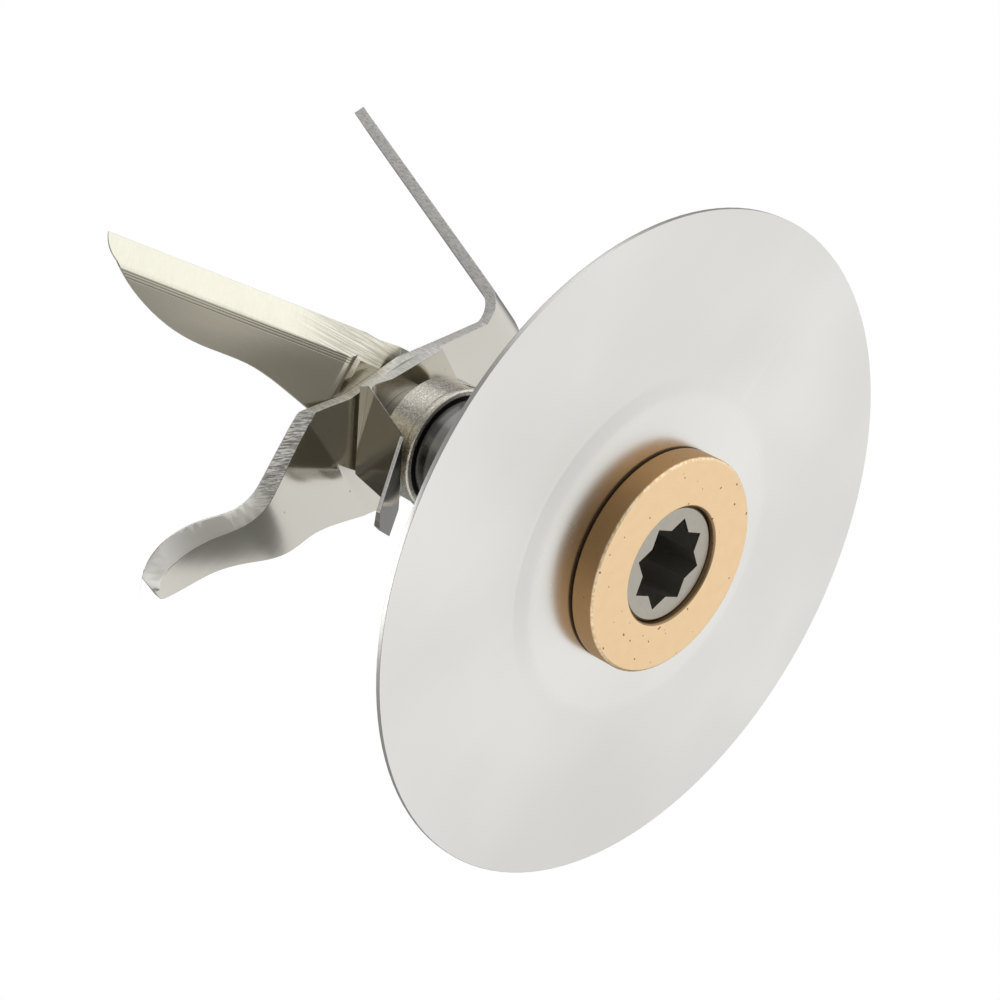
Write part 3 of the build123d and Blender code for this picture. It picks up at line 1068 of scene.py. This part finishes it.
@dataclass
class Studio:
    """Pale floor, white surround, soft lamps and the photograph's camera, whose place is in millimetres."""

    camera_place: Triple = (-2.093, -184.114, -121.127)
    camera_right: Triple = (0.47135, 0.53950, -0.69769)
    camera_ahead: Triple = (0.0, 0.79108, 0.61171)
    lens: float = 86.4
    sensor: float = 36.0
    clip: Span = (0.005, 20.0)
    floor_size: float = 4.0
    floor_drop: float = 0.2 * MM
    below: Glow = Glow((0.6, 0.45, -0.66), (0.3, 0.72), 0.8)
    beside: Glow = Glow((-0.7, 0.1, -0.6), (0.62, 0.88), 0.6)
    dim: float = 0.28
    ambient: float = 0.5
    lamps: tuple[Lamp, ...] = (Lamp("key", (-0.5, -0.5, 0.7), 2.0), Lamp("fill", (0.6, -0.3, 0.3), 1.0))

    def camera(self) -> None:
        """Put the camera where the photograph was taken from."""
        data = bpy.data.cameras.new("camera")
        data.lens = self.lens
        data.sensor_width = self.sensor
        data.clip_start, data.clip_end = self.clip
        eye = bpy.data.objects.new("camera", data)
        bpy.context.scene.collection.objects.link(eye)
        right = Vector(self.camera_right).normalized()
        back = -Vector(self.camera_ahead).normalized()
        turn = Matrix((right, back.cross(right), back)).transposed().to_4x4()
        eye.matrix_world = Matrix.Translation(Vector(self.camera_place) * MM) @ turn
        bpy.context.scene.camera = eye

    def floor(self) -> None:
        """A pale floor under the flange that shows only from above."""
        bpy.ops.object.select_all(action="DESELECT")
        bpy.ops.mesh.primitive_plane_add(size=self.floor_size, location=(0, 0, -self.floor_drop))
        plane = bpy.context.view_layer.objects.active
        plane.name = "studio_floor"
        plane.data.materials.append(StudioFloor().material())
        plane.visible_shadow = False
        plane.visible_diffuse = False
        plane.visible_glossy = False

    def world(self) -> None:
        """White to the eye; in reflections a glow from below, a lesser one on the left, dim elsewhere."""
        world = bpy.data.worlds.new("studio")
        world.use_nodes = True
        bpy.context.scene.world = world
        bench = Bench(world.node_tree)
        paths = bench.node(Kind.LIGHT_PATH, {}, {})
        names = ("Is Camera Ray", "Is Glossy Ray", "Is Transmission Ray")
        seen, glossy, through = (Signal(bench, paths.outputs[name]) for name in names)
        way = bench.add(Kind.POINT, {}, {}, "Generated")
        around = self.dim + self.below.level(bench, way) + self.beside.level(bench, way)
        level = self.ambient + (1 - self.ambient) * (seen + through) + glossy * (around - self.ambient)
        background = bench.add(Kind.BACKGROUND, {}, {"Color": (1, 1, 1, 1), "Strength": level})
        bench.node(Kind.WORLD_OUTPUT, {}, {"Surface": background})

    def build(self) -> None:
        """Set the whole studio up."""
        self.camera()
        self.floor()
        self.world()
        for lamp in self.lamps:
            lamp.build()
        bpy.context.scene.view_settings.view_transform = "Standard"


@dataclass
class BaseGroup:
    """What stays still: disc, bushing, tower and what they hold."""

    disc_edge: float = 0.08 * MM
    rubber: Finish = BlackMoulding("black_rubber", 0.55)
    washer: Finish = TurnedSteel("washer_steel", tone=(0.6, 0.59, 0.57), shade=(0.42, 0.41, 0.39))

    def build(self) -> None:
        """Dress every piece of the group."""
        bronze = SinteredBronze().material()
        rubber = self.rubber.material()
        disc = Dressed("base_disc", Body.BASE, Slot.DISC, edge=self.disc_edge)
        disc.build(SatinSteel().material())
        Dressed("flange_bushing", Body.BASE, Slot.BRONZE).build(bronze)
        Dressed("bearing_housing", Body.BASE, Slot.HOUSING).build(StreakedTower().material())
        coat("disc_gasket", rubber)
        coat("upper_bushing", bronze)
        coat("shaft_seal", rubber)
        coat("thrust_washer", self.washer.material())


@dataclass
class RotorGroup:
    """What turns: shaft, collar, blades and fasteners. Headings of the wings are in degrees."""

    top_headings: tuple[float, float] = (-90.0, 90.0)
    middle_headings: tuple[float, float] = (16.0, 201.0)
    lower_headings: tuple[float, float] = (-125.0, 82.0)
    lower_sharp: float = 50.0
    lower_tone: Colour = (0.5, 0.475, 0.4)
    lower_shade: Colour = (0.45, 0.425, 0.355)
    middle_tone: Colour = (0.58, 0.56, 0.51)
    middle_shade: Colour = (0.53, 0.51, 0.46)
    mirror_roughness: float = 0.08
    top_roughness: float = 0.18
    turned_edge: float = 0.05 * MM
    rubber: Finish = BlackMoulding("ring_rubber", 0.4)
    collar: Finish = TurnedSteel(
        "collar_steel", tone=(0.66, 0.63, 0.57), shade=(0.4, 0.36, 0.29), roughness=0.2, painted_glint_share=0.6
    )
    fastener: Finish = TurnedSteel(
        "fastener_steel", tone=(0.64, 0.63, 0.61), shade=(0.45, 0.44, 0.42), roughness=0.22
    )
    fasteners: tuple[str, ...] = ("blade_spacer", "lock_washer", "blade_nut")

    def dress_blade(self, blade: Blade, face: Finish, bevel: Finish) -> None:
        """Dress one blade.

        Args:
            blade: the blade.
            face: finish of its faces.
            bevel: finish of its ground edges.
        """
        side = ShearedSide(f"{blade.node}_side", blade.headings[0])
        blade.build(face.material(), bevel.material(), side.material())

    def lower_blade(self) -> None:
        """Dress the lower blade, whose bevels are polished as its faces are."""
        headings = self.lower_headings
        blade = Blade("lower_blade", Body.ROTOR, Slot.BLADE, sharp=self.lower_sharp, headings=headings)
        face, bevel = (
            RolledFace(name, headings[0], self.lower_tone, self.lower_shade, self.mirror_roughness)
            for name in ("lower_blade_face", "lower_blade_bevel")
        )
        self.dress_blade(blade, face, bevel)

    def middle_blade(self) -> None:
        """Dress the middle blade, whose stepped wing lies level."""
        headings = self.middle_headings
        stepped = headings[1]
        blade = Blade("middle_blade", Body.ROTOR, Slot.BLADE, headings=headings, level_heading=stepped)
        face = RolledFace(
            "middle_blade_face", stepped, self.middle_tone, self.middle_shade, self.mirror_roughness
        )
        self.dress_blade(blade, face, TornBevel("middle_blade_bevel", stepped))

    def top_blade(self) -> None:
        """Dress the top blade."""
        headings = self.top_headings
        blade = Blade("top_blade", Body.ROTOR, Slot.BLADE, headings=headings)
        face = LinedFace("top_blade_face", headings[0], roughness=self.top_roughness)
        self.dress_blade(blade, face, GroundBevel("top_blade_bevel", headings[0]))

    def build(self) -> None:
        """Dress every piece of the group."""
        shaft = Dressed("drive_shaft", Body.ROTOR, Slot.SHAFT, edge=self.turned_edge)
        shaft.build(DrivenSteel().material())
        collar = Dressed("seal_collar", Body.ROTOR, Slot.COLLAR, edge=self.turned_edge)
        collar.build(self.collar.material())
        Dressed("collar_ring", Body.ROTOR, Slot.RUBBER).build(self.rubber.material())
        self.lower_blade()
        self.middle_blade()
        self.top_blade()
        plain = self.fastener.material()
        for node in self.fasteners:
            Dressed(node, Body.ROTOR, Slot.FASTENER).build(plain)
        coat("retaining_clip", plain)


def main() -> None:
    """Build the studio and dress both bodies."""
    Studio().build()
    BaseGroup().build()
    RotorGroup().build()


if __name__ == "__main__":
    main()
